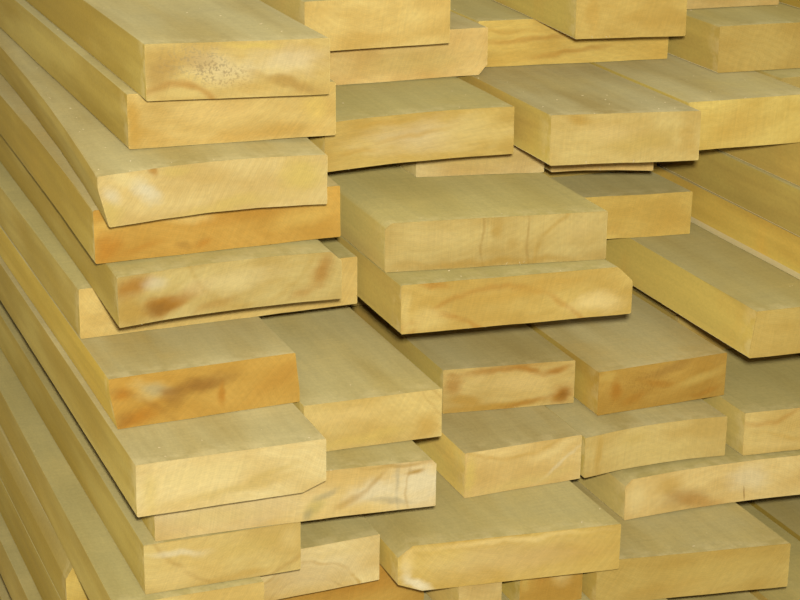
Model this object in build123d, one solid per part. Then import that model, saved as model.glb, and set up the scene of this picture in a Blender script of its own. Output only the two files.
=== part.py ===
from build123d import *
import math
import os
from dataclasses import dataclass

# A stack of rough-sawn hardwood boards, dead-piled in courses with nothing laid between them.
# Millimetres. X runs across the stack, Y along the boards with the near ends at -Y, Z up.
# The origin is on the floor, in the middle of the box that the stack fills.

# Stock
THICKNESS = 52.0          # two-inch stock, sawn full
LONG_STOCK = 2440.0       # eight-foot boards
SHORT_STOCK = 2135.0      # seven-foot boards, which stop well short of the near line
SHORT_FROM = 290.0        # a board set back by this much is a short one
TRIM = 15.0               # boards are a few of these over length
TRIM_STEPS = 4
ARRIS = 2.0               # wear on the long edges
CHAMFER_SHARE = 0.7       # of that wear, where a crooked board's edge is a flat instead
MIN_GAP = 2.0             # least room between neighbours in a course
SWING_OVER = 850.0        # how far back a crooked board has come straight


@dataclass
class Board:
    """One board as it lies in its course."""
    left: float               # stack's left line to the board's left edge
    width: float
    setback: float            # stack's near line to the end's left corner
    askew: float = 0.0        # how much farther back the end's right corner is
    cup: float = 0.0          # rise of the middle over the edges, negative for a sag
    low_left: tuple = ()      # corner lost to wane, as (across, up)
    low_right: tuple = ()
    top_left: tuple = ()
    top_right: tuple = ()
    swing: float = 0.0        # how far a crook carries the near end to the left of the rest

    @property
    def right(self):
        return self.left + self.width

    @property
    def nearest(self):
        return min(self.setback, self.setback + self.askew)


# The courses from the top one down, each from left to right
COURSES = [
    [Board(79, 164, 74, -25), Board(281, 157, 232), Board(445, 116, 490),
     Board(568, 120, 210, -20, swing=26), Board(717, 164, 330, -10), Board(887, 180, 250, 5)],
    [Board(71, 197, 112, -10), Board(298, 215, 304, 0, low_right=(10, 11)),
     Board(516, 222, 339, -24), Board(751, 150, 230, -10, swing=5), Board(909, 158, 150)],
    [Board(26, 215, 45, 8, cup=4, low_left=(9, 36), swing=33), Board(277, 206, 162, 6, cup=2),
     Board(496, 152, 113, -31), Board(653, 148, 118, -5), Board(807, 136, 190),
     Board(949, 118, 120, -5)],
    [Board(35, 242, 107, 8, swing=14), Board(294, 127, 400), Board(427, 140, 294, -26),
     Board(573, 109, 266, -33, cup=2), Board(688, 102, 430), Board(796, 157, 75, -5),
     Board(959, 106, 140)],
    [Board(47, 220, 73, 11, cup=3, top_right=(11, 10), swing=12),
     Board(334, 231, 145, -33, top_left=(7, 6), swing=10), Board(578, 213, 420),
     Board(793, 153, 65, swing=8), Board(957, 110, 100)],
    [Board(38, 292, 199, 10, swing=4), Board(336, 246, 105, -20, top_right=(17, 16), swing=6),
     Board(591, 189, 340, -26), Board(796, 135, 80, low_left=(9, 12)), Board(937, 130, 140, -8)],
    [Board(38, 190, 85, 9, low_left=(7, 40), top_right=(4, 40)), Board(230, 203, 380),
     Board(439, 184, 410), Board(629, 70, 440), Board(702, 196, 50, -12, top_left=(6, 40)),
     Board(904, 163, 90)],
    [Board(40, 182, 0, 0, low_right=(24, 9)), Board(228, 145, 84, -2), Board(383, 180, 490),
     Board(569, 194, 500), Board(773, 140, 330), Board(919, 148, 260)],
    [Board(69, 279, 52, -17, cup=1.5, top_right=(5, 5)), Board(447, 151, 256, -21),
     Board(604, 165, 192, 7), Board(779, 134, 330), Board(919, 146, 300)],
    [Board(57, 156, 49), Board(223, 195, 430), Board(427, 139, 147, 4),
     Board(569, 177, 150, 2, cup=4), Board(763, 160, 145, -15), Board(929, 138, 120)],
    [Board(25, 147, 38, swing=6), Board(180, 134, 91, 7),
     Board(319, 236, 63, -28, low_left=(26, 10), top_left=(16, 12)),
     Board(614, 229, 138, -8, cup=3, top_left=(8, 8)), Board(849, 218, 262)],
    [Board(20, 163, 238, top_left=(9, 14)), Board(189, 190, 135), Board(385, 49, 60),
     Board(462, 74, 78), Board(542, 215, 60, -33), Board(789, 144, 350), Board(939, 128, 70)],
    [Board(20, 234, 50, 6), Board(262, 165, 105), Board(433, 190, 20, -8),
     Board(631, 132, 350), Board(769, 205, 410), Board(980, 88, 380)],
    [Board(6, 160, 95), Board(173, 205, 35, 5), Board(386, 148, 120), Board(541, 230, 75, -10),
     Board(779, 118, 45), Board(903, 166, 110)],
    [Board(32, 186, 50, -6), Board(224, 142, 90), Board(372, 255, 65, 8, cup=2),
     Board(634, 160, 25), Board(801, 125, 130), Board(933, 136, 85)],
    [Board(12, 215, 110, 5), Board(235, 128, 55), Board(370, 190, 95, -7),
     Board(567, 152, 40), Board(726, 214, 105, 6), Board(947, 121, 60)],
    [Board(24, 150, 70), Board(181, 236, 30, -9), Board(424, 135, 115), Board(566, 176, 60, 5),
     Board(749, 150, 90), Board(906, 162, 35)],
    [Board(0, 213, 55, 7), Board(220, 170, 100), Board(398, 212, 45, -6), Board(617, 138, 80),
     Board(762, 185, 25, 5), Board(954, 114, 120)],
]
COUNT = len(COURSES)


def length_of(board, course, place):
    """Boards are sold by the foot and are cut a little over it."""
    stock = SHORT_STOCK if board.setback >= SHORT_FROM else LONG_STOCK
    return stock + TRIM * ((3 * course + 2 * place) % TRIM_STEPS)


def middle(low, high):
    return (low + high) / 2


every = [(board, length_of(board, number, place))
         for number, course in enumerate(COURSES) for place, board in enumerate(course)]
X_MIDDLE = middle(min(b.left for b, _ in every), max(b.right for b, _ in every))
Y_MIDDLE = middle(min(b.nearest for b, _ in every),
                  max(b.setback + length for b, length in every))


def corner(x, z, wane, inward, upward):
    """The points of one corner of a board's section: one, or two where wane took it."""
    if not wane:
        return [(x, z)]
    across, up = wane
    return [(x, z + upward * up), (x + inward * across, z)]


def edge(start, end, rise):
    """A face of the section from start to end, bowed by rise at its middle."""
    if abs(rise) < 0.01:
        return Line(start, end)
    mid = (middle(start[0], end[0]), middle(start[1], end[1]) + rise)
    return ThreePointArc(start, mid, end)


def section(board):
    """The board's cross-section in X and Z, kept within the course's thickness."""
    crown, sag = max(board.cup, 0), max(-board.cup, 0)
    floor, top = sag, THICKNESS - crown
    left, right = board.left, board.right
    low_left = corner(left, floor, board.low_left, 1, 1)
    low_right = corner(right, floor, board.low_right, -1, 1)[::-1]
    top_right = corner(right, top, board.top_right, -1, -1)
    top_left = corner(left, top, board.top_left, 1, -1)[::-1]
    lines = [edge(low_left[-1], low_right[0], board.cup)]
    lines += [Line(a, b) for a, b in zip(low_right, low_right[1:])]
    lines += [Line(low_right[-1], top_right[0])]
    lines += [Line(a, b) for a, b in zip(top_right, top_right[1:])]
    lines += [edge(top_right[-1], top_left[0], board.cup)]
    lines += [Line(a, b) for a, b in zip(top_left, top_left[1:])]
    lines += [Line(top_left[-1], low_left[0])]
    lines += [Line(a, b) for a, b in zip(low_left, low_left[1:])]
    face = make_face(lines)
    if board.swing:
        return chamfer(face.vertices(), ARRIS * CHAMFER_SHARE)
    return fillet(face.vertices(), ARRIS)


def crooked(board, profile, far):
    """The section drawn straight from the far end, then round a wide bend to the left,
    a thickness past the near end, which is cut to its line afterwards."""
    radius = (SWING_OVER ** 2 + board.swing ** 2) / (2 * board.swing)
    bend_from = board.setback + SWING_OVER
    turn = math.degrees(math.asin(SWING_OVER / radius))
    past_end = math.degrees((THICKNESS + abs(board.askew)) / radius)
    start = Pos(board.swing, bend_from, 0) * profile
    middle_of_bend = Axis((board.left + board.swing - radius, bend_from, 0), (0, 0, -1))
    return extrude(start, amount=-(far - bend_from)) + revolve(start, middle_of_bend, turn + past_end)


def board_solid(board, length, floor):
    """One board, its section drawn out along Y and its near end cut askew."""
    profile = Plane.XZ * section(board)
    near, far = board.nearest, board.setback + length
    if board.swing:
        bar = crooked(board, profile, far)
    else:
        bar = Pos(0, near, 0) * extrude(profile, amount=-(far - near))
    if board.askew or board.swing:
        slope = board.askew / board.width
        left, right = board.left - THICKNESS, board.right + board.swing + THICKNESS
        outline = Polyline((left, board.setback - slope * THICKNESS),
                           (right, board.setback + slope * (right - board.left)),
                           (right, far + THICKNESS), (left, far + THICKNESS), close=True)
        bar = bar & extrude(make_face(outline), amount=THICKNESS)
    return (Pos(-X_MIDDLE, -Y_MIDDLE, floor) * bar).solids()[0]


def write_course(number, course):
    """One course of boards side by side, counted from the floor."""
    from_floor = COUNT - 1 - number
    for a, b in zip(course, course[1:]):
        assert b.left - a.right - a.swing >= MIN_GAP, (number, a, b)
    boards = [board_solid(board, length_of(board, number, place), from_floor * THICKNESS)
              for place, board in enumerate(course)]
    name = f"course_{from_floor + 1:02d}"
    node = Compound(label=name, children=boards)
    export_step(node, f"parts/{name}.step")
    return node


os.makedirs("parts", exist_ok=True)
for number, course in enumerate(COURSES):
    write_course(number, course)
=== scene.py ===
import math
import random

import bpy
import bmesh
from mathutils import Matrix, Vector


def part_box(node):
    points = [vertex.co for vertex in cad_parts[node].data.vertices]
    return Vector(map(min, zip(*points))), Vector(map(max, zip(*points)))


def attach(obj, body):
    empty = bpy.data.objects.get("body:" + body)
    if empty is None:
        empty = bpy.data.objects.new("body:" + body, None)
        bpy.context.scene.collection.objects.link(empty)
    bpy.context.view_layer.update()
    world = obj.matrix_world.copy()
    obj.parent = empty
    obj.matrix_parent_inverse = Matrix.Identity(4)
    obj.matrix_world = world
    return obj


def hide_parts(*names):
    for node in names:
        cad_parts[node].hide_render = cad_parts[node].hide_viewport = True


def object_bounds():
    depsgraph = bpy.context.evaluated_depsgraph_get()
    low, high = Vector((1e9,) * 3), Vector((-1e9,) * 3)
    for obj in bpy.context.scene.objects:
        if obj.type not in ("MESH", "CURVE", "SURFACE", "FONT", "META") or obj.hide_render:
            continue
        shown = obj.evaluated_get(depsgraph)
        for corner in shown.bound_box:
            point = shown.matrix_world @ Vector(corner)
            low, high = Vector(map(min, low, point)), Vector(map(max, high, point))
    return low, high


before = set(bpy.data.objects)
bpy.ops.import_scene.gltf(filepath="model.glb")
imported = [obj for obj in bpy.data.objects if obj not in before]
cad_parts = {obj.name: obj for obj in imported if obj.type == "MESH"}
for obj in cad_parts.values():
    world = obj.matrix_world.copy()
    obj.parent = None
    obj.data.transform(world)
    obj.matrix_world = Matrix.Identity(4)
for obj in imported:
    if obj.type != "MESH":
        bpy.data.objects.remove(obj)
cad_low, cad_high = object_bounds()


# Camera
# A long lens, a little above the top course and to the left of the stack, looking down along
# the boards at their near ends.
EYE = (-0.8794, -2.9685, 1.2756)
TURN, PITCH, ROLL = 21.82, 18.573, 0.66       # degrees: turned to the right, tipped down, rolled
LENS = 88.79                  # millimetres, on a sensor 36 wide

turn = Matrix.Rotation(math.radians(-TURN), 3, "Z")
tip = Matrix.Rotation(math.radians(90 - PITCH), 3, "X")
aim = turn @ tip @ Matrix.Rotation(math.radians(ROLL), 3, "Z")
bpy.ops.object.camera_add(location=EYE, rotation=aim.to_euler())
camera = bpy.context.object
camera.name = "camera"
camera.data.lens = LENS
camera.data.sensor_width = 36.0
camera.data.clip_start = 0.05
camera.data.clip_end = 100.0
bpy.context.scene.camera = camera


# Sawn faces of the boards
# Rough-sawn hardwood. The flat faces carry faint saw lines across, long grain along, and a grey
# film of dust on whatever lies upwards; the narrow edges are browner and streaked.
class Wire:
    """An output in the material being made, so that its sums read as Python."""

    def __init__(self, tree, socket):
        self.tree = tree
        self.socket = socket

    def make(self, kind, settings=None, sockets=None, output=0):
        """Any node, with its settings, its inputs as values or wires, and the output to go on with."""
        node = self.tree.nodes.new(kind)
        for name, value in (settings or {}).items():
            setattr(node, name, value)
        for key, value in (sockets or {}).items():
            if isinstance(value, Wire):
                self.tree.links.new(value.socket, node.inputs[key])
            else:
                node.inputs[key].default_value = value
        return Wire(self.tree, node.outputs[output])

    def sum(self, operation, *others):
        """A sum on numbers, under the name that its Math node has."""
        sockets = dict(enumerate((self, *others)))
        return self.make("ShaderNodeMath", {"operation": operation}, sockets)

    def __add__(self, other):
        return self.sum("ADD", other)

    def __radd__(self, other):
        return self.sum("ADD", other)

    def __sub__(self, other):
        return self.sum("SUBTRACT", other)

    def __rsub__(self, other):
        return self.make("ShaderNodeMath", {"operation": "SUBTRACT"}, {0: other, 1: self})

    def __mul__(self, other):
        return self.sum("MULTIPLY", other)

    def __rmul__(self, other):
        return self.sum("MULTIPLY", other)

    def __truediv__(self, other):
        return self.sum("DIVIDE", other)

    def vector(self, operation, *others, output=0):
        sockets = dict(enumerate((self, *others)))
        return self.make("ShaderNodeVectorMath", {"operation": operation}, sockets, output)

    def scaled(self, x, y, z):
        return self.vector("MULTIPLY", (x, y, z))

    def length(self):
        return self.vector("LENGTH", output="Value")

    def noise(self, scale, detail, roughness, output="Fac"):
        """A cloudy pattern at this place, finer with a larger scale."""
        sockets = {"Vector": self, "Scale": scale, "Detail": detail, "Roughness": roughness}
        return self.make("ShaderNodeTexNoise", None, sockets, output)

    def between(self, low, high, start=0.0, end=1.0):
        """Goes softly from start to end while this value goes from low to high."""
        sockets = {"Value": self, "From Min": low, "From Max": high, "To Min": start, "To Max": end}
        return self.make("ShaderNodeMapRange", {"interpolation_type": "SMOOTHSTEP"}, sockets)

    def blend(self, first, second):
        """From the first colour, where this value is 0, to the second, where it is 1."""
        sockets = {"Factor": self, 6: first, 7: second}
        return self.make("ShaderNodeMix", {"data_type": "RGBA"}, sockets, 2)

    def shaded(self, amount):
        """This colour, made lighter or darker by a value about 1."""
        grey = self.make("ShaderNodeCombineXYZ", None, {"X": amount, "Y": amount, "Z": amount})
        return self.vector("MULTIPLY", grey)


def paint(red, green, blue):
    """A colour as the screen shows it, from 0 to 255, in the renderer's own numbers."""
    parts = [c / 255 for c in (red, green, blue)]
    return tuple(c / 12.92 if c <= 0.04045 else ((c + 0.055) / 1.055) ** 2.4 for c in parts) + (1.0,)


def new_finish(name):
    """An empty material, its shader, and its place on the object."""
    material = bpy.data.materials.new(name)
    material.use_nodes = True
    tree = material.node_tree
    tree.nodes.clear()
    shader = tree.nodes.new("ShaderNodeBsdfPrincipled")
    output = tree.nodes.new("ShaderNodeOutputMaterial")
    tree.links.new(shader.outputs[0], output.inputs[0])
    coordinates = tree.nodes.new("ShaderNodeTexCoord")
    shader.inputs["Specular IOR Level"].default_value = 0.25
    shader.inputs["Diffuse Roughness"].default_value = 1.0
    return material, shader, Wire(tree, coordinates.outputs["Object"])


def put(shader, place, colour, roughness, height, depth):
    """Colour, roughness and relief into the shader."""
    tree = place.tree
    tree.links.new(colour.socket, shader.inputs["Base Color"])
    tree.links.new(roughness.socket, shader.inputs["Roughness"])
    relief = place.make("ShaderNodeBump", None, {"Strength": 1.0, "Distance": depth, "Height": height})
    tree.links.new(relief.socket, shader.inputs["Normal"])


def carried(place, name, output="Fac"):
    """A value that each board's mesh carries under this name."""
    return place.make("ShaderNodeAttribute", {"attribute_name": name}, None, output)


SAWN_RELIEF = 0.0006          # depth of the saw lines and of the raised grain
FRINGE = 0.035                # how far back from an end the faces are torn pale
DUST = paint(198, 181, 122)
DUST_BROWN = paint(181, 157, 92)
DUST_OLIVE = paint(183, 167, 94)
EDGE_OLIVE = paint(194, 168, 76)
EDGE_BROWN = paint(172, 138, 56)
EDGE_ORANGE = paint(199, 151, 57)
EDGE_OUTER = paint(166, 136, 48)
SAPWOOD = paint(232, 212, 150)


def sawn_finish():
    material, shader, place = new_finish("sawn_face")
    seed = carried(place, "seed")
    tone = carried(place, "tone", "Color")
    from_end = carried(place, "from_end")
    outer = carried(place, "outer")
    edge_level = carried(place, "edge_level")
    flat_level = carried(place, "flat_level")
    own_hue = (seed * 5.3).sum("FRACT")
    shift = place.make("ShaderNodeCombineXYZ", None, {"X": seed * 3.1, "Y": seed * 7.7, "Z": seed * 1.3})
    own = place.vector("ADD", shift)
    normal = place.make("ShaderNodeNewGeometry", None, None, "Normal")
    up = place.make("ShaderNodeSeparateXYZ", None, {0: normal}, "Z")

    # The grain's patterns are drawn out along the board, and the saw's across it.
    long_grain = own.scaled(1, 0.05, 1).noise(150, 4, 0.6)
    broad = own.scaled(1, 0.16, 1).noise(16, 3, 0.55)
    cloud = own.noise(7, 4, 0.6)
    streak = own.scaled(1, 0.03, 1).noise(46, 3, 0.65)
    fleck = own.scaled(1, 0.5, 1).noise(420, 2, 0.6)
    saw = own.scaled(0.12, 1, 0.12).noise(260, 3, 0.7)

    # Narrow edges, from olive to brown, with the outermost ones of each course darker.
    side = broad.between(0.35, 0.68).blend(EDGE_OLIVE, EDGE_BROWN)
    side = (cloud.between(0.50, 0.74) * 0.6).blend(side, EDGE_ORANGE)
    side = (0.1 + 0.35 * own_hue).blend(side, tone)
    side = (outer * broad.between(0.25, 0.6, 0.35, 0.85)).blend(side, EDGE_OUTER)
    side_light = 0.78 + 0.36 * streak + 0.16 * (long_grain - 0.5)
    # edge_level lightens or darkens the edges of some boards: partly their own colour, partly painted light
    # and shade.
    side = side.shaded(edge_level * side_light)

    # Flat faces under their dust.
    flat = broad.between(0.3, 0.7).blend(DUST, DUST_BROWN)
    flat = (own_hue * 0.7).blend(flat, DUST_OLIVE)
    flat = (cloud.between(0.45, 0.75) * 0.3).blend(flat, tone)
    flat_light = 0.84 + (0.18 * long_grain + 0.16 * (streak - 0.5) + 0.20 * (saw - 0.5))
    # flat_level does the same for the flat faces: partly their own colour, partly painted light and shade.
    flat = flat.shaded(flat_level * flat_light)

    # Both together, with pale sapwood on the wane under a corner and in the torn fringe at an end.
    colour = up.between(0.35, 0.8).blend(side, flat)
    wane = up.between(-0.5, -0.25, 1.0, 0.0) * up.between(-0.98, -0.9)
    colour = (wane * 0.85).blend(colour, SAPWOOD)
    fringe = from_end.between(0.0, FRINGE, 1.0, 0.0) * own.noise(55, 3, 0.6).between(0.4, 0.62)
    colour = (fringe * 0.26).blend(colour, SAPWOOD)
    colour = colour.shaded(0.88 + 0.24 * fleck)
    roughness = 0.78 + 0.16 * long_grain
    height = long_grain * 0.5 + saw * 0.5 + fleck * 0.4
    put(shader, place, colour, roughness, height, SAWN_RELIEF)
    return material


sawn_face = sawn_finish()


# Cut ends of the boards
# End grain as the crosscut saw left it: growth rings about each board's own heart, ray fleck,
# fine saw lines, and the stains, knots and pale sapwood that each end shows.
TONES = {
    "pale": paint(236, 214, 142),
    "cream": paint(229, 203, 126),
    "straw": paint(222, 197, 116),
    "gold": paint(224, 198, 104),
    "ochre": paint(213, 184, 96),
    "amber": paint(205, 166, 74),
    "tan": paint(190, 152, 74),
    "olive": paint(208, 186, 106),
    "white": paint(232, 218, 172),
    "rust": paint(190, 133, 42),
    "brown": paint(160, 114, 44),
    "grey": paint(158, 146, 112),
}
END_RELIEF = 0.0005           # depth of the saw's marks in the end grain
RING_TINT = (0.88, 0.80, 0.66)
PALE_TINT = (1.05, 1.07, 1.16)
WARM_TINT = (0.95, 0.82, 0.58)
FINE_RINGS = 0.29             # a thin ring's width as a share of a broad one's
SAW_MARK = (0.0016, 1.0, 0.045)   # a saw mark's width, and its length across the end
WARP = 0.012                  # how far stains and rings wander


def tinted(tone, tint):
    return tuple(c * s for c, s in zip(tone, (*tint, 1.0)))


def end_finish(name, tone, heart, ring_gap, saw_tilt, marks, grain, level):
    """End grain. Its marks are those listed in ENDS, but in the object's own metres."""
    material, shader, place = new_finish(name)
    warp = place.noise(38, 2, 0.5, output="Color").vector("SUBTRACT", (0.5, 0.5, 0.5))
    bent = warp.make("ShaderNodeVectorMath", {"operation": "SCALE"}, {0: warp, "Scale": WARP})
    loose = place.vector("ADD", bent)
    smear = place.scaled(0.45, 1, 1)
    blotch = smear.noise(20 + grain, 2, 0.5)
    warm = place.vector("ADD", (3.0 + grain, 1.0, 7.0)).noise(11, 2, 0.5)
    ragged = smear.noise(75, 3, 0.6)
    speck = place.noise(700, 2, 0.7)
    dots = place.noise(420, 2, 0.5).between(0.48, 0.64)
    mottle = smear.noise(330, 3, 0.65)

    # Growth rings round the heart, a broad set and a fine one.
    radius = loose.vector("SUBTRACT", (heart[0], 0, heart[1])).scaled(1, 0, 1).length()
    pace = place.noise(60, 2, 0.5)
    ring = (((radius / ring_gap) + pace * 0.8) * math.tau).sum("SINE") * 0.5 + 0.5
    fine_ring = ((radius / (ring_gap * FINE_RINGS)) * math.tau).sum("SINE") * 0.5 + 0.5

    # The saw's lines, which lean by saw_tilt.
    saw_place = place.make("ShaderNodeMapping", {"vector_type": "TEXTURE"},
                           {"Vector": place, "Rotation": (0, math.radians(90 - saw_tilt), 0),
                            "Scale": SAW_MARK})
    saw = saw_place.noise(1, 3, 0.6)

    base = TONES[tone]
    darker = tinted(base, RING_TINT)
    colour = blotch.between(0.25, 0.75).blend(tinted(base, PALE_TINT), darker)
    colour = (warm.between(0.5, 0.8) * 0.4).blend(colour, tinted(base, WARM_TINT))
    colour = (ring * 0.20).blend(colour, darker)
    for kind, x, z, *sizes, stain, strength in marks:
        if kind in ("blot", "dots"):
            across, up, tilt = sizes
            spot = place.make("ShaderNodeMapping", {"vector_type": "TEXTURE"},
                              {"Vector": loose, "Location": (x, 0, z),
                               "Rotation": (0, math.radians(-tilt), 0), "Scale": (across, 1e6, up)})
            share = (spot.length() + 0.9 * (ragged - 0.5)).between(0.15, 1.2, strength, 0.0)
            if kind == "dots":
                share = share * dots
        else:
            reach, width = sizes
            out = loose.vector("SUBTRACT", (x, 0, z)).scaled(1, 0, 1).length()
            if kind == "ring":
                share = (out - reach).sum("ABSOLUTE").between(0.0, width * 1.6, strength, 0.0)
                share = share * ragged.between(0.3, 0.6, 0.45, 1.0)
            else:
                share = (reach - out).between(-width, width, 0.0, strength)
        colour = share.sum("MINIMUM", 1.0).blend(colour, TONES[stain])
    light = 0.79 + 0.22 * mottle + 0.12 * speck + 0.20 * (saw - 0.5) + 0.04 * fine_ring
    # level is partly the end's own lightness and partly painted light and shade, from LEVELS.
    colour = colour.shaded(level * light)
    roughness = 0.74 + 0.2 * mottle
    height = saw * 0.5 + speck * 0.35 + mottle * 0.4 + ring * 0.1
    put(shader, place, colour, roughness, height, END_RELIEF)
    return material


# Boards, course by course
# Two-inch stock in random widths, laid edge to edge. Each board starts from its solid in the
# frame, is cut into short lengths, and gets its sawn unevenness and its worn, broken end edges.
COURSES = 18
STATION = 0.11                # length of board between cuts
FIRST_STATION = 0.09          # the first of them, from the course's near end
STRIP = 0.016                 # width between cuts
EDGE_CUTS = (0.018, 0.035)    # heights of the cuts that run along the boards
UNEVEN = 0.0012               # deepest hollow that the saw left
UNEVEN_SPREAD = 0.045         # and about how wide its hollows are
END_WEAR = 0.0011             # width of the broken edge about an end
WEAR_SLOPE = 0.8              # how far back that edge goes, as a share of its width
SMOOTH_UNDER = 28             # degrees between faces that are shaded as one
SAME_POINT = 0.00002          # points of the CAD mesh this close are one
SAME_PLANE = 0.4              # degrees between its triangles that are one face
FACING = 0.9                  # least share of a normal along an axis that a face looks along
ENDWISE = 0.5                 # the same for faces of an end, its broken edges too
END_DEPTH = 0.06              # a near end lies within this of its foremost point
CORNER_PULL = 0.5             # how much lying to one side counts when its corners are looked for
EDGE_HEIGHT = 0.003           # its lower edge lies within this of its underside
LEFT_CLEAR = 0.012            # how far splinters keep from that edge's left corner
RIGHT_CLEAR = 0.05            # and from its right one
SEEDS = 10                    # range of the numbers that shift each board's pattern
NEXT_GRAIN = 0.37             # what sets the end grain of neighbours apart

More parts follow.
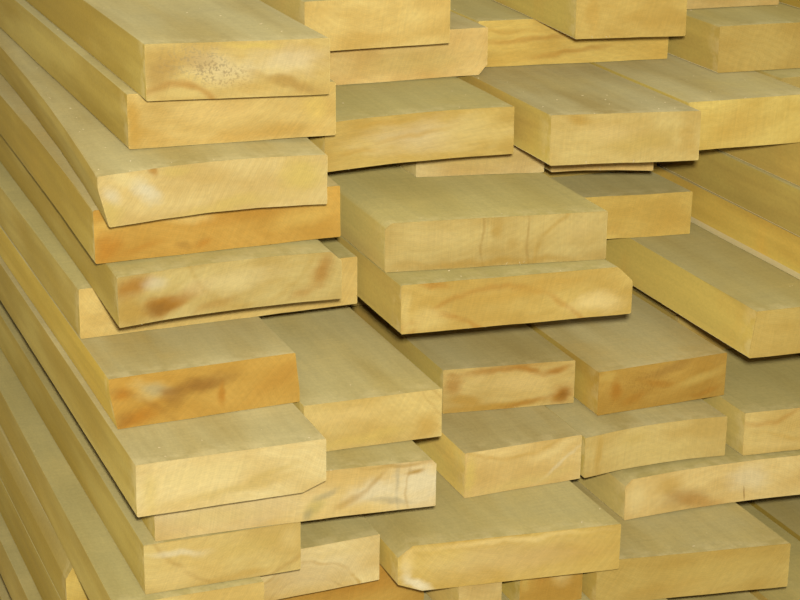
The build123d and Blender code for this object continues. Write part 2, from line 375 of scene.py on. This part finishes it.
# What the near ends in view look like, by course from the floor and place from the left: the
# tone, the heart as (across, up) in millimetres from the end's lower left corner, the width of a
# ring, the tilt of the saw lines in degrees, then the marks.
# blot: across, up, half width, half height, tilt, tone, strength (dots: the same, but speckled)
# ring: heart across, heart up, radius, half width, tone, strength
# core: heart across, heart up, radius, softness, tone, strength
ENDS = {
    (18, 0): ("straw", (60, -140), 6.0, 72, [
        ("blot", 12, 26, 18, 24, 0, "tan", 0.7), ("blot", 30, 36, 22, 9, 8, "tan", 0.45),
        ("blot", 66, 28, 40, 18, -14, "white", 0.4), ("dots", 52, 32, 42, 22, -14, "grey", 0.42),
        ("dots", 70, 20, 38, 16, -20, "brown", 0.3), ("blot", 48, 34, 20, 10, -10, "tan", 0.3),
        ("blot", 128, 34, 44, 18, 0, "white", 0.5), ("blot", 96, 48, 30, 4, 0, "gold", 0.8),
        ("blot", 128, 12, 40, 6, -16, "tan", 0.75), ("blot", 96, 10, 30, 8, 0, "amber", 0.4),
        ("ring", 26, -30, 46, 3.6, "rust", 0.55), ("blot", 34, 6, 24, 6, -6, "straw", 0.8)]),
    (18, 1): ("straw", (70, 90), 7.0, 80, [("blot", 60, 10, 70, 14, 4, "amber", 0.3)]),
    (18, 3): ("ochre", (40, 110), 6.0, 75, [("blot", 18, 30, 8, 30, 0, "amber", 0.5)]),
    (17, 0): ("straw", (20, 220), 8.0, 55, [
        ("blot", 5, 24, 10, 34, 6, "amber", 0.9), ("blot", 24, 10, 24, 8, -20, "amber", 0.4),
        ("blot", 120, 6, 90, 8, 3, "amber", 0.5), ("blot", 80, 30, 50, 12, 0, "cream", 0.6),
        ("blot", 176, 30, 14, 18, 10, "gold", 0.6)]),
    (17, 1): ("cream", (120, 130), 7.0, 70, [("blot", 120, 20, 90, 20, 0, "olive", 0.5)]),
    (17, 2): ("gold", (90, -260), 5.0, 4, [
        ("blot", 60, 30, 80, 4, 4, "rust", 0.4), ("blot", 110, 14, 60, 4, 6, "rust", 0.4),
        ("blot", 30, 40, 50, 4, 0, "amber", 0.5), ("blot", 150, 34, 60, 8, 0, "pale", 0.4)]),
    (16, 0): ("cream", (-160, 200), 7.0, 58, [
        ("blot", 24, 44, 26, 8, -24, "pale", 1.0), ("blot", 44, 31, 20, 10, -40, "white", 0.9),
        ("blot", 12, 30, 13, 8, -50, "white", 0.7), ("blot", 50, 49, 5, 9, 20, "rust", 0.7),
        ("blot", 10, 12, 14, 16, 20, "gold", 0.6), ("blot", 120, 10, 60, 8, 6, "gold", 0.5),
        ("blot", 70, 46, 20, 5, 0, "gold", 0.5), ("blot", 190, 30, 26, 22, 0, "gold", 0.8)]),
    (16, 1): ("ochre", (40, -120), 5.5, 5, [
        ("blot", 110, 28, 90, 20, 0, "white", 0.42),
        ("blot", 60, 44, 46, 4, 4, "amber", 0.6), ("blot", 100, 30, 60, 4, 6, "amber", 0.5),
        ("blot", 30, 18, 34, 4, 5, "amber", 0.5), ("blot", 160, 26, 50, 22, 0, "straw", 0.75)]),
    (16, 2): ("straw", (30, 140), 7.0, 85, [
        ("blot", 28, 46, 14, 6, -14, "amber", 0.75), ("blot", 95, 22, 50, 12, 10, "ochre", 0.6),
        ("blot", 140, 24, 12, 24, 8, "amber", 0.55), ("blot", 60, 32, 34, 12, 0, "cream", 0.7)]),
    (16, 3): ("gold", (30, 140), 7.0, 85, [("blot", 60, 20, 40, 30, 0, "amber", 0.4)]),
    (15, 0): ("amber", (10, -170), 7.0, 66, [
        ("blot", 12, 14, 20, 16, 30, "rust", 0.8), ("blot", 46, 12, 26, 5, 16, "rust", 0.4),
        ("blot", 150, 34, 80, 10, 6, "rust", 0.22), ("blot", 200, 24, 40, 12, 10, "gold", 0.4),
        ("blot", 92, 36, 26, 9, 0, "straw", 0.6), ("blot", 104, 9, 14, 5, 10, "rust", 0.6),
        ("blot", 84, 8, 10, 4, -20, "brown", 0.35), ("blot", 30, 40, 30, 7, 10, "gold", 0.5)]),
    (15, 2): ("pale", (50, 120), 7.0, 80, [("blot", 60, 26, 80, 26, 0, "gold", 0.4)]),
    (15, 3): ("cream", (50, 120), 7.0, 80, [("blot", 60, 26, 80, 26, 0, "amber", 0.3)]),
    (15, 5): ("ochre", (50, 120), 7.0, 80, []),
    (14, 0): ("straw", (170, -140), 7.0, 70, [
        ("blot", 14, 38, 22, 12, 14, "rust", 0.85), ("blot", 44, 18, 26, 12, 10, "rust", 1.0),
        ("blot", 40, 15, 17, 7, 6, "brown", 0.7), ("blot", 66, 24, 30, 8, 20, "rust", 0.6),
        ("blot", 12, 14, 16, 18, 40, "amber", 0.8), ("blot", 92, 11, 28, 6, 14, "rust", 0.35),
        ("blot", 34, 38, 14, 9, 0, "white", 0.6), ("blot", 110, 32, 60, 14, 4, "pale", 0.8),
        ("ring", 130, 72, 66, 3.0, "amber", 0.3), ("blot", 200, 30, 12, 20, -30, "rust", 0.7),
        ("blot", 180, 12, 16, 6, 20, "rust", 0.4)]),
    (14, 1): ("straw", (30, 210), 7.0, 88, [
        ("ring", 524, 26, 424, 1.6, "tan", 0.5), ("ring", 564, 26, 418, 1.8, "tan", 0.5),
        ("blot", 110, 4, 100, 6, 0, "amber", 0.75), ("blot", 114, 40, 9, 11, 20, "amber", 0.7),
        ("blot", 132, 24, 8, 10, -20, "amber", 0.4), ("ring", 225, -12, 74, 2.4, "amber", 0.5),
        ("blot", 200, 34, 26, 14, 0, "cream", 0.5), ("blot", 24, 8, 24, 8, 0, "amber", 0.4),
        ("blot", 52, 34, 34, 10, 0, "cream", 0.5)]),
    (14, 3): ("ochre", (50, 120), 7.0, 80, []),
    (13, 0): ("straw", (120, 110), 7.0, 60, []),
    (13, 1): ("ochre", (80, 230), 8.0, 76, [
        ("ring", 35, -46, 64, 3.0, "rust", 0.6), ("ring", 100, -76, 118, 3.4, "rust", 0.45),
        ("blot", 30, 14, 30, 15, 12, "straw", 0.8), ("blot", 206, 16, 36, 14, 0, "pale", 0.7),
        ("blot", 120, 34, 70, 9, 5, "amber", 0.7), ("blot", 34, 50, 20, 5, -10, "rust", 0.6),
        ("blot", 5, 26, 8, 28, 0, "straw", 0.7), ("blot", 170, 44, 50, 5, 3, "amber", 0.5)]),
    (13, 2): ("gold", (90, -90), 7.0, 75, [
        ("blot", 40, 30, 40, 12, 20, "amber", 0.5), ("blot", 80, 14, 50, 12, -10, "amber", 0.35)]),
    (13, 3): ("amber", (50, 120), 7.0, 80, []),
    (12, 0): ("amber", (50, -30), 6.5, 45, [
        ("blot", 42, 36, 24, 13, -14, "straw", 0.75), ("blot", 44, 36, 18, 9, -14, "grey", 0.5),
        ("blot", 92, 34, 40, 9, 4, "brown", 0.85), ("blot", 62, 26, 14, 16, 50, "brown", 0.6),
        ("blot", 12, 34, 12, 8, 0, "rust", 0.9), ("blot", 26, 10, 34, 10, 24, "rust", 0.95),
        ("blot", 12, 8, 16, 8, 10, "brown", 0.4), ("blot", 110, 20, 5, 16, -6, "rust", 0.8),
        ("ring", -20, -64, 106, 3.0, "brown", 0.3), ("blot", 170, 30, 40, 12, 30, "rust", 0.25)]),
    (12, 4): ("ochre", (50, 120), 7.0, 80, [("blot", 20, 20, 30, 30, 0, "amber", 0.3)]),
    (11, 0): ("pale", (90, -120), 7.5, 72, [
        ("blot", 90, 14, 74, 6, 6, "ochre", 0.42), ("blot", 130, 26, 34, 5, 12, "ochre", 0.38),
        ("blot", 60, 34, 60, 14, 0, "pale", 0.8), ("blot", 12, 20, 10, 26, 0, "gold", 0.4)]),
    (11, 1): ("straw", (200, 130), 6.0, 60, [
        ("ring", 214, 96, 68, 1.5, "tan", 0.42), ("ring", 214, 96, 78, 1.5, "rust", 0.34),
        ("ring", 214, 96, 90, 1.4, "tan", 0.34), ("ring", 214, 96, 101, 1.6, "tan", 0.3),
        ("blot", 128, 14, 22, 16, 30, "amber", 0.7), ("blot", 60, 10, 60, 9, 4, "gold", 0.5),
        ("blot", 40, 36, 50, 10, 0, "cream", 0.6)]),
    (10, 0): ("cream", (190, 230), 7.0, 80, [
        ("blot", 262, 26, 44, 30, 0, "white", 0.8), ("blot", 214, 26, 34, 16, 4, "white", 0.75),
        ("blot", 60, 26, 120, 30, 0, "white", 0.42),
        ("blot", 156, 14, 17, 10, 40, "olive", 0.9), ("blot", 150, 10, 10, 6, 40, "grey", 0.4),
        ("blot", 168, 27, 16, 4, 24, "grey", 0.4), ("blot", 192, 18, 22, 5, 28, "tan", 0.55),
        ("blot", 216, 35, 20, 4, 40, "tan", 0.55), ("blot", 232, 13, 24, 4, -10, "grey", 0.4),
        ("blot", 256, 40, 14, 3.5, 4, "tan", 0.9), ("ring", 462, 20, 224, 1.7, "grey", 0.35),
        ("ring", 462, 20, 214, 1.5, "tan", 0.4), ("blot", 60, 20, 60, 14, 2, "gold", 0.35),
        ("blot", 240, 49, 50, 3, 0, "tan", 0.6)]),
    (10, 1): ("straw", (80, 220), 7.0, 60, [
        ("blot", 60, 47, 66, 5, 3, "rust", 0.6), ("blot", 98, 43, 20, 5, -20, "rust", 0.75),
        ("blot", 128, 41, 20, 6, 14, "rust", 0.8), ("blot", 86, 30, 44, 11, -6, "cream", 0.9),
        ("blot", 40, 38, 14, 6, 20, "cream", 0.7), ("blot", 136, 13, 17, 13, 30, "rust", 1.0),
        ("blot", 138, 12, 12, 8, 30, "brown", 0.6), ("blot", 12, 32, 12, 16, 0, "rust", 0.55),
        ("blot", 50, 5, 84, 7, 3, "amber", 1.0), ("blot", 26, 14, 28, 8, -14, "amber", 0.8),
        ("blot", 96, 8, 40, 4, 10, "rust", 0.5)]),
    (10, 2): ("amber", (70, 210), 7.0, 66, [
        ("blot", 22, 26, 10, 17, 0, "rust", 0.9), ("blot", 46, 14, 26, 8, 20, "rust", 0.5),
        ("dots", 60, 30, 44, 20, 0, "brown", 0.3), ("blot", 84, 42, 36, 8, 10, "brown", 0.5),
        ("blot", 76, 28, 26, 6, -14, "rust", 0.5), ("blot", 130, 26, 40, 8, 12, "gold", 0.5),
        ("blot", 140, 8, 24, 5, 8, "rust", 0.5), ("blot", 10, 44, 14, 8, 0, "gold", 0.4)]),
    (10, 3): ("ochre", (70, 110), 7.0, 66, []),
    (9, 0): ("straw", (20, 140), 8.0, 66, [
        ("ring", 98, 94, 96, 2.6, "tan", 0.5), ("blot", 30, 12, 34, 12, 0, "cream", 0.6),
        ("blot", 34, 38, 34, 5, -8, "white", 0.65), ("blot", 100, 34, 40, 12, 4, "ochre", 0.5),
        ("blot", 146, 34, 14, 14, 0, "cream", 0.6), ("blot", 100, 6, 46, 5, 4, "amber", 0.4)]),
    (9, 2): ("cream", (70, -150), 7.0, 78, [
        ("ring", 60, 176, 138, 3.0, "amber", 0.5), ("blot", 106, 40, 40, 7, 20, "pale", 0.6),
        ("blot", 110, 22, 40, 3, 34, "white", 0.45), ("blot", 6, 26, 9, 28, 0, "gold", 0.8),
        ("blot", 70, 8, 70, 8, 4, "straw", 0.7)]),
    (9, 3): ("straw", (70, -50), 7.0, 84, [
        ("blot", 17, 24, 6, 30, 0, "amber", 0.62), ("blot", 60, 38, 22, 10, 0, "ochre", 0.5),
        ("blot", 100, 20, 60, 14, 0, "straw", 0.5)]),
    (9, 4): ("straw", (40, 130), 9.0, 78, [
        ("ring", 20, 120, 84, 3.4, "rust", 0.42), ("blot", 60, 16, 40, 4, -16, "amber", 0.4),
        ("blot", 40, 10, 50, 8, 0, "cream", 0.5)]),
    (8, 0): ("straw", (40, 90), 7.0, 60, []),
    (8, 1): ("pale", (50, -10), 8.0, 58, [
        ("ring", 52, -36, 72, 2.2, "amber", 0.7), ("core", 52, -36, 70, 6, "amber", 0.5),
        ("ring", 52, -36, 54, 1.8, "tan", 0.3), ("blot", 60, 42, 60, 6, 0, "cream", 0.7),
        ("blot", 60, 26, 70, 30, 0, "white", 0.3)]),
    (8, 2): ("ochre", (100, 110), 7.5, 52, [
        ("blot", 20, 10, 24, 7, -28, "white", 0.95), ("blot", 8, 26, 7, 22, 0, "white", 0.4),
        ("blot", 114, 47, 110, 4, 0, "cream", 0.7), ("blot", 144, 22, 90, 14, 4, "amber", 0.4),
        ("blot", 12, 34, 10, 16, 0, "cream", 0.6), ("blot", 110, 26, 110, 24, 0, "white", 0.18)]),
    (8, 3): ("cream", (130, -110), 8.0, 86, [
        ("blot", 70, 18, 34, 16, 0, "brown", 0.36), ("blot", 90, 12, 40, 10, -18, "rust", 0.42),
        ("blot", 56, 36, 22, 12, 20, "amber", 0.5), ("blot", 150, 30, 34, 18, 0, "white", 0.5),
        ("blot", 14, 26, 14, 26, 0, "pale", 0.7), ("blot", 146, 12, 1.0, 10, 12, "brown", 0.9)]),
    (7, 0): ("gold", (50, 120), 7.0, 80, []),
    (7, 1): ("amber", (50, 220), 7.0, 80, [
        ("blot", 110, 36, 100, 22, 0, "rust", 0.45), ("blot", 178, 40, 20, 14, 0, "gold", 0.5)]),
    (7, 2): ("cream", (50, 120), 7.0, 80, [("blot", 20, 44, 24, 14, 0, "tan", 0.3)]),
    (7, 3): ("amber", (20, 160), 7.0, 80, [
        ("blot", 26, 40, 16, 16, 0, "rust", 0.5), ("blot", 50, 36, 16, 18, 0, "cream", 0.7),
        ("blot", 6, 40, 8, 20, 0, "gold", 0.6)]),
    (7, 4): ("ochre", (90, 150), 8.0, 60, [
        ("blot", 120, 30, 90, 14, 4, "ochre", 0.6), ("blot", 60, 12, 60, 10, 4, "amber", 0.35)]),
}
# How much lighter or darker some of the ends are drawn than their tone: partly their own colour, and partly
# painted light and shade that makes up for ends the lamps leave too bright or too dark.
LEVELS = {
    (18, 0): 0.94, (18, 1): 1.12, (18, 3): 1.08, (17, 0): 1.05, (17, 1): 1.15, (17, 2): 1.15, (16, 0): 0.86,
    (16, 2): 0.94, (15, 0): 1.11, (15, 2): 1.04, (15, 3): 1.10, (14, 0): 0.83, (14, 1): 0.90,
    (13, 0): 1.12, (13, 2): 1.16, (12, 0): 1.07, (12, 4): 0.93, (11, 0): 0.88, (10, 0): 0.95,
    (10, 1): 1.08, (9, 0): 0.94, (9, 2): 1.04, (9, 4): 1.06, (8, 1): 0.95, (8, 2): 1.03,
    (8, 3): 1.04, (7, 0): 1.08, (7, 1): 1.05, (7, 2): 0.88, (7, 4): 0.92,
}
# The same for the narrow edges and the flat faces of some boards, also partly their own colour and partly
# painted light and shade that makes up for faces the lamps leave too dark or too bright.
FACE_LEVELS = {
    (16, 2): (1.06, 0.90), (14, 1): (0.89, 1.14), (14, 3): (0.90, 1.0), (13, 1): (0.92, 1.0),
    (13, 3): (1.38, 1.0), (12, 0): (1.42, 1.0), (12, 4): (1.08, 1.0), (11, 1): (1.0, 1.08),
    (10, 2): (1.0, 1.13), (9, 2): (1.45, 1.0), (8, 2): (1.0, 1.06),
}
# The other near ends and all far ends take one of these tones, and share a heart mid-stack.
PLAIN_TONES = ["straw", "ochre", "gold", "olive", "amber", "cream"]
PLAIN_HEART = (0.07, 0.4)
PLAIN_RING = 0.007
PLAIN_TILT = 74

chance = random.Random(20)
plain_ends = [end_finish(f"far_end_{tone}", tone, PLAIN_HEART, PLAIN_RING, PLAIN_TILT, [], n, 1.0)
              for n, tone in enumerate(PLAIN_TONES)]


def only(*things):
    """Nothing selected but these, and the first of them active."""
    bpy.ops.object.select_all(action="DESELECT")
    for thing in things:
        thing.select_set(True)
    bpy.context.view_layer.objects.active = things[0]


def cut_across(points, axis):
    """Cuts all of the mesh in edit mode at these places along an axis."""
    normal = [0.0, 0.0, 0.0]
    normal[axis] = 1.0
    for point in points:
        spot = [0.0, 0.0, 0.0]
        spot[axis] = point
        bpy.ops.mesh.select_all(action="SELECT")
        bpy.ops.mesh.bisect(plane_co=spot, plane_no=normal)


def wear_ends(sign):
    """The edges about the end faces on one side of a course, broken back a little."""
    mesh = bpy.context.object.data
    shape = bmesh.from_edit_mesh(mesh)
    for face in shape.faces:
        face.select_set(face.normal.y * sign > FACING)
    bmesh.update_edit_mesh(mesh)
    bpy.ops.mesh.inset(thickness=END_WEAR, use_boundary=True, use_even_offset=True)
    shape = bmesh.from_edit_mesh(mesh)
    inner = {v for f in shape.faces if f.select for v in f.verts}
    rim = {v for v in inner for e in v.link_edges for v in e.verts} - inner
    for face in shape.faces:
        face.select_set(False)
    for vertex in rim:
        vertex.select_set(True)
    shape.select_flush_mode()
    bmesh.update_edit_mesh(mesh)
    bpy.ops.transform.translate(value=(0, -sign * END_WEAR * WEAR_SLOPE, 0))


def near_corners(board):
    """The left and right corners of the near end, also where it is cut askew."""
    left_corner = min((v.co for v in board.data.vertices), key=lambda p: p.y + CORNER_PULL * p.x)
    right_corner = min((v.co for v in board.data.vertices), key=lambda p: p.y - CORNER_PULL * p.x)
    return left_corner.copy(), right_corner.copy()


def carry(board, name, values, kind="FLOAT", field="value"):
    """A value at each point of a board, for its sawn faces to read."""
    layer = board.data.attributes.new(name, kind, "POINT")
    layer.data.foreach_set(field, values)


def in_metres(marks, left, underside):
    """An end's marks, from millimetres in its corner to metres where the board lies."""
    placed = []
    for kind, x, z, *rest in marks:
        sizes = [v / 1000 for v in rest[:2]]
        placed.append((kind, left + x / 1000, underside + z / 1000, *sizes, *rest[2:]))
    return placed


unevenness = bpy.data.textures.new("unevenness", "CLOUDS")
unevenness.noise_scale = UNEVEN_SPREAD
courses = []
low_edges = []                # the points along the lower edge of each near end that shows
for number in range(1, COURSES + 1):
    node = f"course_{number:02d}"
    course = bpy.data.objects.new("course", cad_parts[node].data.copy())
    bpy.context.scene.collection.objects.link(course)
    course.data.materials.clear()
    course.data.materials.append(sawn_face)
    only(course)
    low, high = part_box(node)
    bpy.ops.mesh.customdata_custom_splitnormals_clear()
    bpy.ops.object.mode_set(mode="EDIT")
    bpy.ops.mesh.select_all(action="SELECT")
    bpy.ops.mesh.remove_doubles(threshold=SAME_POINT)
    bpy.ops.mesh.dissolve_limited(angle_limit=math.radians(SAME_PLANE))
    wear_ends(-1)
    wear_ends(1)
    stations = int((high.y - low.y) / STATION)
    strips = int((high.x - low.x) / STRIP)
    cut_across([low.y + STATION * n + FIRST_STATION for n in range(stations)], 1)
    cut_across([low.x + STRIP * n for n in range(1, strips + 1)], 0)
    cut_across([low.z + height for height in EDGE_CUTS], 2)
    bpy.ops.mesh.separate(type="LOOSE")
    bpy.ops.object.mode_set(mode="OBJECT")
    boards = sorted(bpy.context.selected_objects, key=lambda o: min(v.co.x for v in o.data.vertices))
    for place, board in enumerate(boards):
        points = board.data.vertices
        xs, ys, zs = zip(*(v.co for v in points))
        left = min(v.co.x for v in points if v.co.y < min(ys) + END_DEPTH)
        right = max(xs)
        underside = min(zs)
        first, last = near_corners(board)
        slope = (last.y - first.y) / (last.x - first.x)

        # The saw's hollows go inwards only, so the board stays inside its solid.
        only(board)
        displace = board.modifiers.new("uneven", "DISPLACE")
        displace.texture = unevenness
        displace.texture_coords = "LOCAL"
        displace.strength = UNEVEN
        displace.mid_level = 1.0
        bpy.ops.object.modifier_apply(modifier=displace.name)

        # The near end's material comes after that of the sawn faces, and the far end's after both.
        look = ENDS.get((number, place))
        pick = chance.randrange(len(PLAIN_TONES))
        if look:
            tone, heart, gap, tilt, marks = look
            near_end = end_finish(f"end_{number:02d}_{place}", tone,
                                  (left + heart[0] / 1000, underside + heart[1] / 1000),
                                  gap / 1000, tilt, in_metres(marks, left, underside),
                                  number + place * NEXT_GRAIN, LEVELS.get((number, place), 1.0))
        else:
            tone = PLAIN_TONES[pick]
            near_end = plain_ends[pick]
        board.data.materials.append(near_end)
        board.data.materials.append(plain_ends[pick])
        points = board.data.vertices
        low_edge = set()
        for face in board.data.polygons:
            if face.normal.y < -ENDWISE:
                face.material_index = 1
                low_edge.update(v for v in face.vertices if points[v].co.z < underside + EDGE_HEIGHT)
            elif face.normal.y > ENDWISE:
                face.material_index = 2
        if look:
            low_edges.append([points[v].co.copy() for v in sorted(low_edge)
                              if left + LEFT_CLEAR < points[v].co.x < right - RIGHT_CLEAR])

        count = len(points)
        outermost = place in (0, len(boards) - 1)
        # Edge and flat levels from FACE_LEVELS, partly own colour and partly painted light and shade.
        edge_level, flat_level = FACE_LEVELS.get((number, place), (1.0, 1.0))
        carry(board, "seed", [chance.random() * SEEDS] * count)
        carry(board, "from_end", [v.co.y - (first.y + slope * (v.co.x - first.x)) for v in points])
        carry(board, "outer", [float(outermost)] * count)
        carry(board, "edge_level", [edge_level] * count)
        carry(board, "flat_level", [flat_level] * count)
        carry(board, "tone", list(TONES[tone]) * count, "FLOAT_COLOR", "color")
        bpy.ops.object.shade_smooth_by_angle(angle=math.radians(SMOOTH_UNDER))
    only(*boards)
    bpy.ops.object.join()
    course = bpy.context.object
    course.name = f"boards_{number:02d}"
    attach(course, "root")
    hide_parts(node)
    courses.append(course)


# Floor and background
# A plain pale floor, a hair under the stack, which runs out to a background of the same tone.
FLOOR_SIZE = 24
FLOOR_DROP = 0.0005
FLOOR_DARK = (0.78, 0.77, 0.74, 1.0)
FLOOR_PALE = (0.84, 0.83, 0.80, 1.0)
FLOOR_RELIEF = 0.0003
SKY_LIGHT = (1.0, 0.985, 0.96, 1.0)
SKY_STRENGTH = 0.16           # of its light on the stack
SKY_SEEN = (0.86, 0.85, 0.83, 1.0)


def floor_finish():
    material, shader, place = new_finish("floor")
    grain = place.noise(30, 3, 0.6)
    colour = grain.blend(FLOOR_DARK, FLOOR_PALE)
    put(shader, place, colour, 0.7 + 0.2 * grain, grain, FLOOR_RELIEF)
    return material


bpy.ops.mesh.primitive_plane_add(size=FLOOR_SIZE, location=(0, 0, -FLOOR_DROP))
floor = bpy.context.object
floor.name = "floor"
floor.data.materials.append(floor_finish())

world = bpy.data.worlds.new("studio")
bpy.context.scene.world = world
world.use_nodes = True
world.node_tree.nodes.clear()
sky = Wire(world.node_tree, None)
seen = sky.make("ShaderNodeLightPath", None, None, "Is Camera Ray")
lamp_sky = sky.make("ShaderNodeBackground", None, {"Color": SKY_LIGHT, "Strength": SKY_STRENGTH})
seen_sky = sky.make("ShaderNodeBackground", None, {"Color": SKY_SEEN, "Strength": 1.0})
either = sky.make("ShaderNodeMixShader", None, {0: seen, 1: lamp_sky, 2: seen_sky})
sky_out = world.node_tree.nodes.new("ShaderNodeOutputWorld")
world.node_tree.links.new(either.socket, sky_out.inputs["Surface"])


# Splinters and sawdust
# Slivers torn loose along the lower edges of the crosscut ends, and the crumbs of sawdust and
# bark that have settled on the ledges between one end and the next.
SLIVERS_AN_END = 5
SLIVER = 0.004                # a sliver's length, before it is drawn out or shortened
SLIVER_ROOT = 0.0004          # its radius where it holds on, and the one at its tip
SLIVER_TIP = 0.00008
SLIVER_LEAN = (150, 200)      # degrees from upright, so it hangs, and the turn to one side
SLIVER_TURN = (-70, 70)
SLIVER_STRETCH = (0.4, 1.1)
SLIVER_SHIFT = 0.006          # how far to either side of a point of the edge it stands
SLIVER_IN = 0.0006            # how far into the end and up from its edge it is rooted
SLIVER_UP = 0.0008
CRUMBS = 200
CRUMB = 0.0007                # a crumb's radius, before it is drawn out or shortened
CRUMB_SIZES = (0.5, 1.3)
CRUMB_LONGEST = 2.2           # its length over its width at most
CRUMB_FLAT = 2                # its width over its height
CRUMB_LIFT = 0.0002           # how far its middle lies over the ledge
CRUMB_DEPTH = 0.62            # how far back from the near line they lie, more of them in front
CRUMB_FORWARD = 1.3
CRUMB_FLOOR = 0.35            # the lowest ledge that gets any
CRUMB_RELIEF = 0.0002
WELL_ABOVE = 0.05             # how far over the top course a crumb starts to fall


def crumb_finish():
    material, shader, place = new_finish("sawdust")
    grain = place.noise(900, 2, 0.6)
    colour = grain.blend(paint(206, 178, 112), paint(240, 226, 180))
    put(shader, place, colour, 0.8 + 0.15 * grain, grain, CRUMB_RELIEF)
    return material


def scatter(shape, places, name, finish):
    """Copies of one small shape at these places, joined."""
    copies = []
    for place in places:
        copy = bpy.data.objects.new(name, shape.data.copy())
        copy.data.transform(place)
        bpy.context.scene.collection.objects.link(copy)
        copies.append(copy)
    bpy.data.objects.remove(shape)
    only(*copies)
    bpy.ops.object.join()
    whole = bpy.context.object
    whole.name = name
    whole.data.materials.clear()
    whole.data.materials.append(finish)
    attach(whole, "root")


def turned(axis, degrees):
    return Matrix.Rotation(math.radians(degrees), 4, axis)


sawdust = crumb_finish()
bpy.ops.object.select_all(action="DESELECT")
bpy.ops.mesh.primitive_cone_add(vertices=4, radius1=SLIVER_ROOT, radius2=SLIVER_TIP, depth=SLIVER)
sliver = bpy.context.object
spots = []
for edge in low_edges:
    for _ in range(min(SLIVERS_AN_END, len(edge))):
        at = chance.choice(edge)
        lean = turned("X", chance.uniform(*SLIVER_LEAN)) @ turned("Y", chance.uniform(*SLIVER_TURN))
        stretch = Matrix.Diagonal((1, 1, chance.uniform(*SLIVER_STRETCH), 1))
        root = at + Vector((chance.uniform(-SLIVER_SHIFT, SLIVER_SHIFT), SLIVER_IN, SLIVER_UP))
        spots.append(Matrix.Translation(root) @ lean @ stretch)
scatter(sliver, spots, "splinters", sawdust)

bpy.ops.object.select_all(action="DESELECT")
bpy.ops.mesh.primitive_ico_sphere_add(subdivisions=1, radius=CRUMB)
crumb = bpy.context.object
spots = []
while len(spots) < CRUMBS:
    across = chance.uniform(cad_low[0], cad_high[0])
    back = cad_low[1] + CRUMB_DEPTH * chance.random() ** CRUMB_FORWARD
    above = Vector((across, back, cad_high[2] + WELL_ABOVE))
    for course in reversed(courses):
        struck, point, normal, _ = course.ray_cast(above, Vector((0, 0, -1)))
        if struck:
            if normal.z > FACING and point.z > CRUMB_FLOOR:
                size = chance.uniform(*CRUMB_SIZES)
                point.z = min(point.z + CRUMB_LIFT, cad_high[2] - CRUMB * size / CRUMB_FLAT)
                turn = turned("Z", chance.uniform(0, 360))
                length = size * chance.uniform(1, CRUMB_LONGEST)
                stretch = Matrix.Diagonal((length, size, size / CRUMB_FLAT, 1))
                spots.append(Matrix.Translation(point) @ turn @ stretch)
            break
scatter(crumb, spots, "crumbs", sawdust)


# Lamps
# A small soft lamp just over the camera, which leaves the thin dark lines under the ends that
# stand out, a wide one well above it, and two for the sides that the photo doesn't show.
def lamp(name, place, aim_at, size, power):
    away = Vector(aim_at) - Vector(place)
    rotation = away.to_track_quat("-Z", "Y").to_euler()
    bpy.ops.object.light_add(type="AREA", location=place, rotation=rotation)
    light = bpy.context.object
    light.name = name
    light.data.shape = "DISK"
    light.data.size = size
    light.data.energy = power
    light.visible_camera = False


OVER_LENS = (EYE[0] + 0.02, EYE[1], EYE[2] + 0.05)
lamp("lamp_front", OVER_LENS, (0.0, -1.2, 0.5), size=0.05, power=28.5)
lamp("lamp_wide", (-0.85, -3.1, 2.2), (0.0, -1.2, 0.55), size=2.0, power=8.0)
lamp("lamp_right", (3.2, 1.2, 2.6), (0, 0, 0.4), size=2.2, power=34.0)
lamp("lamp_back", (-1.5, 4.6, 2.4), (0, 0.8, 0.4), size=2.2, power=38.0)

bpy.context.scene.view_settings.view_transform = "Standard"
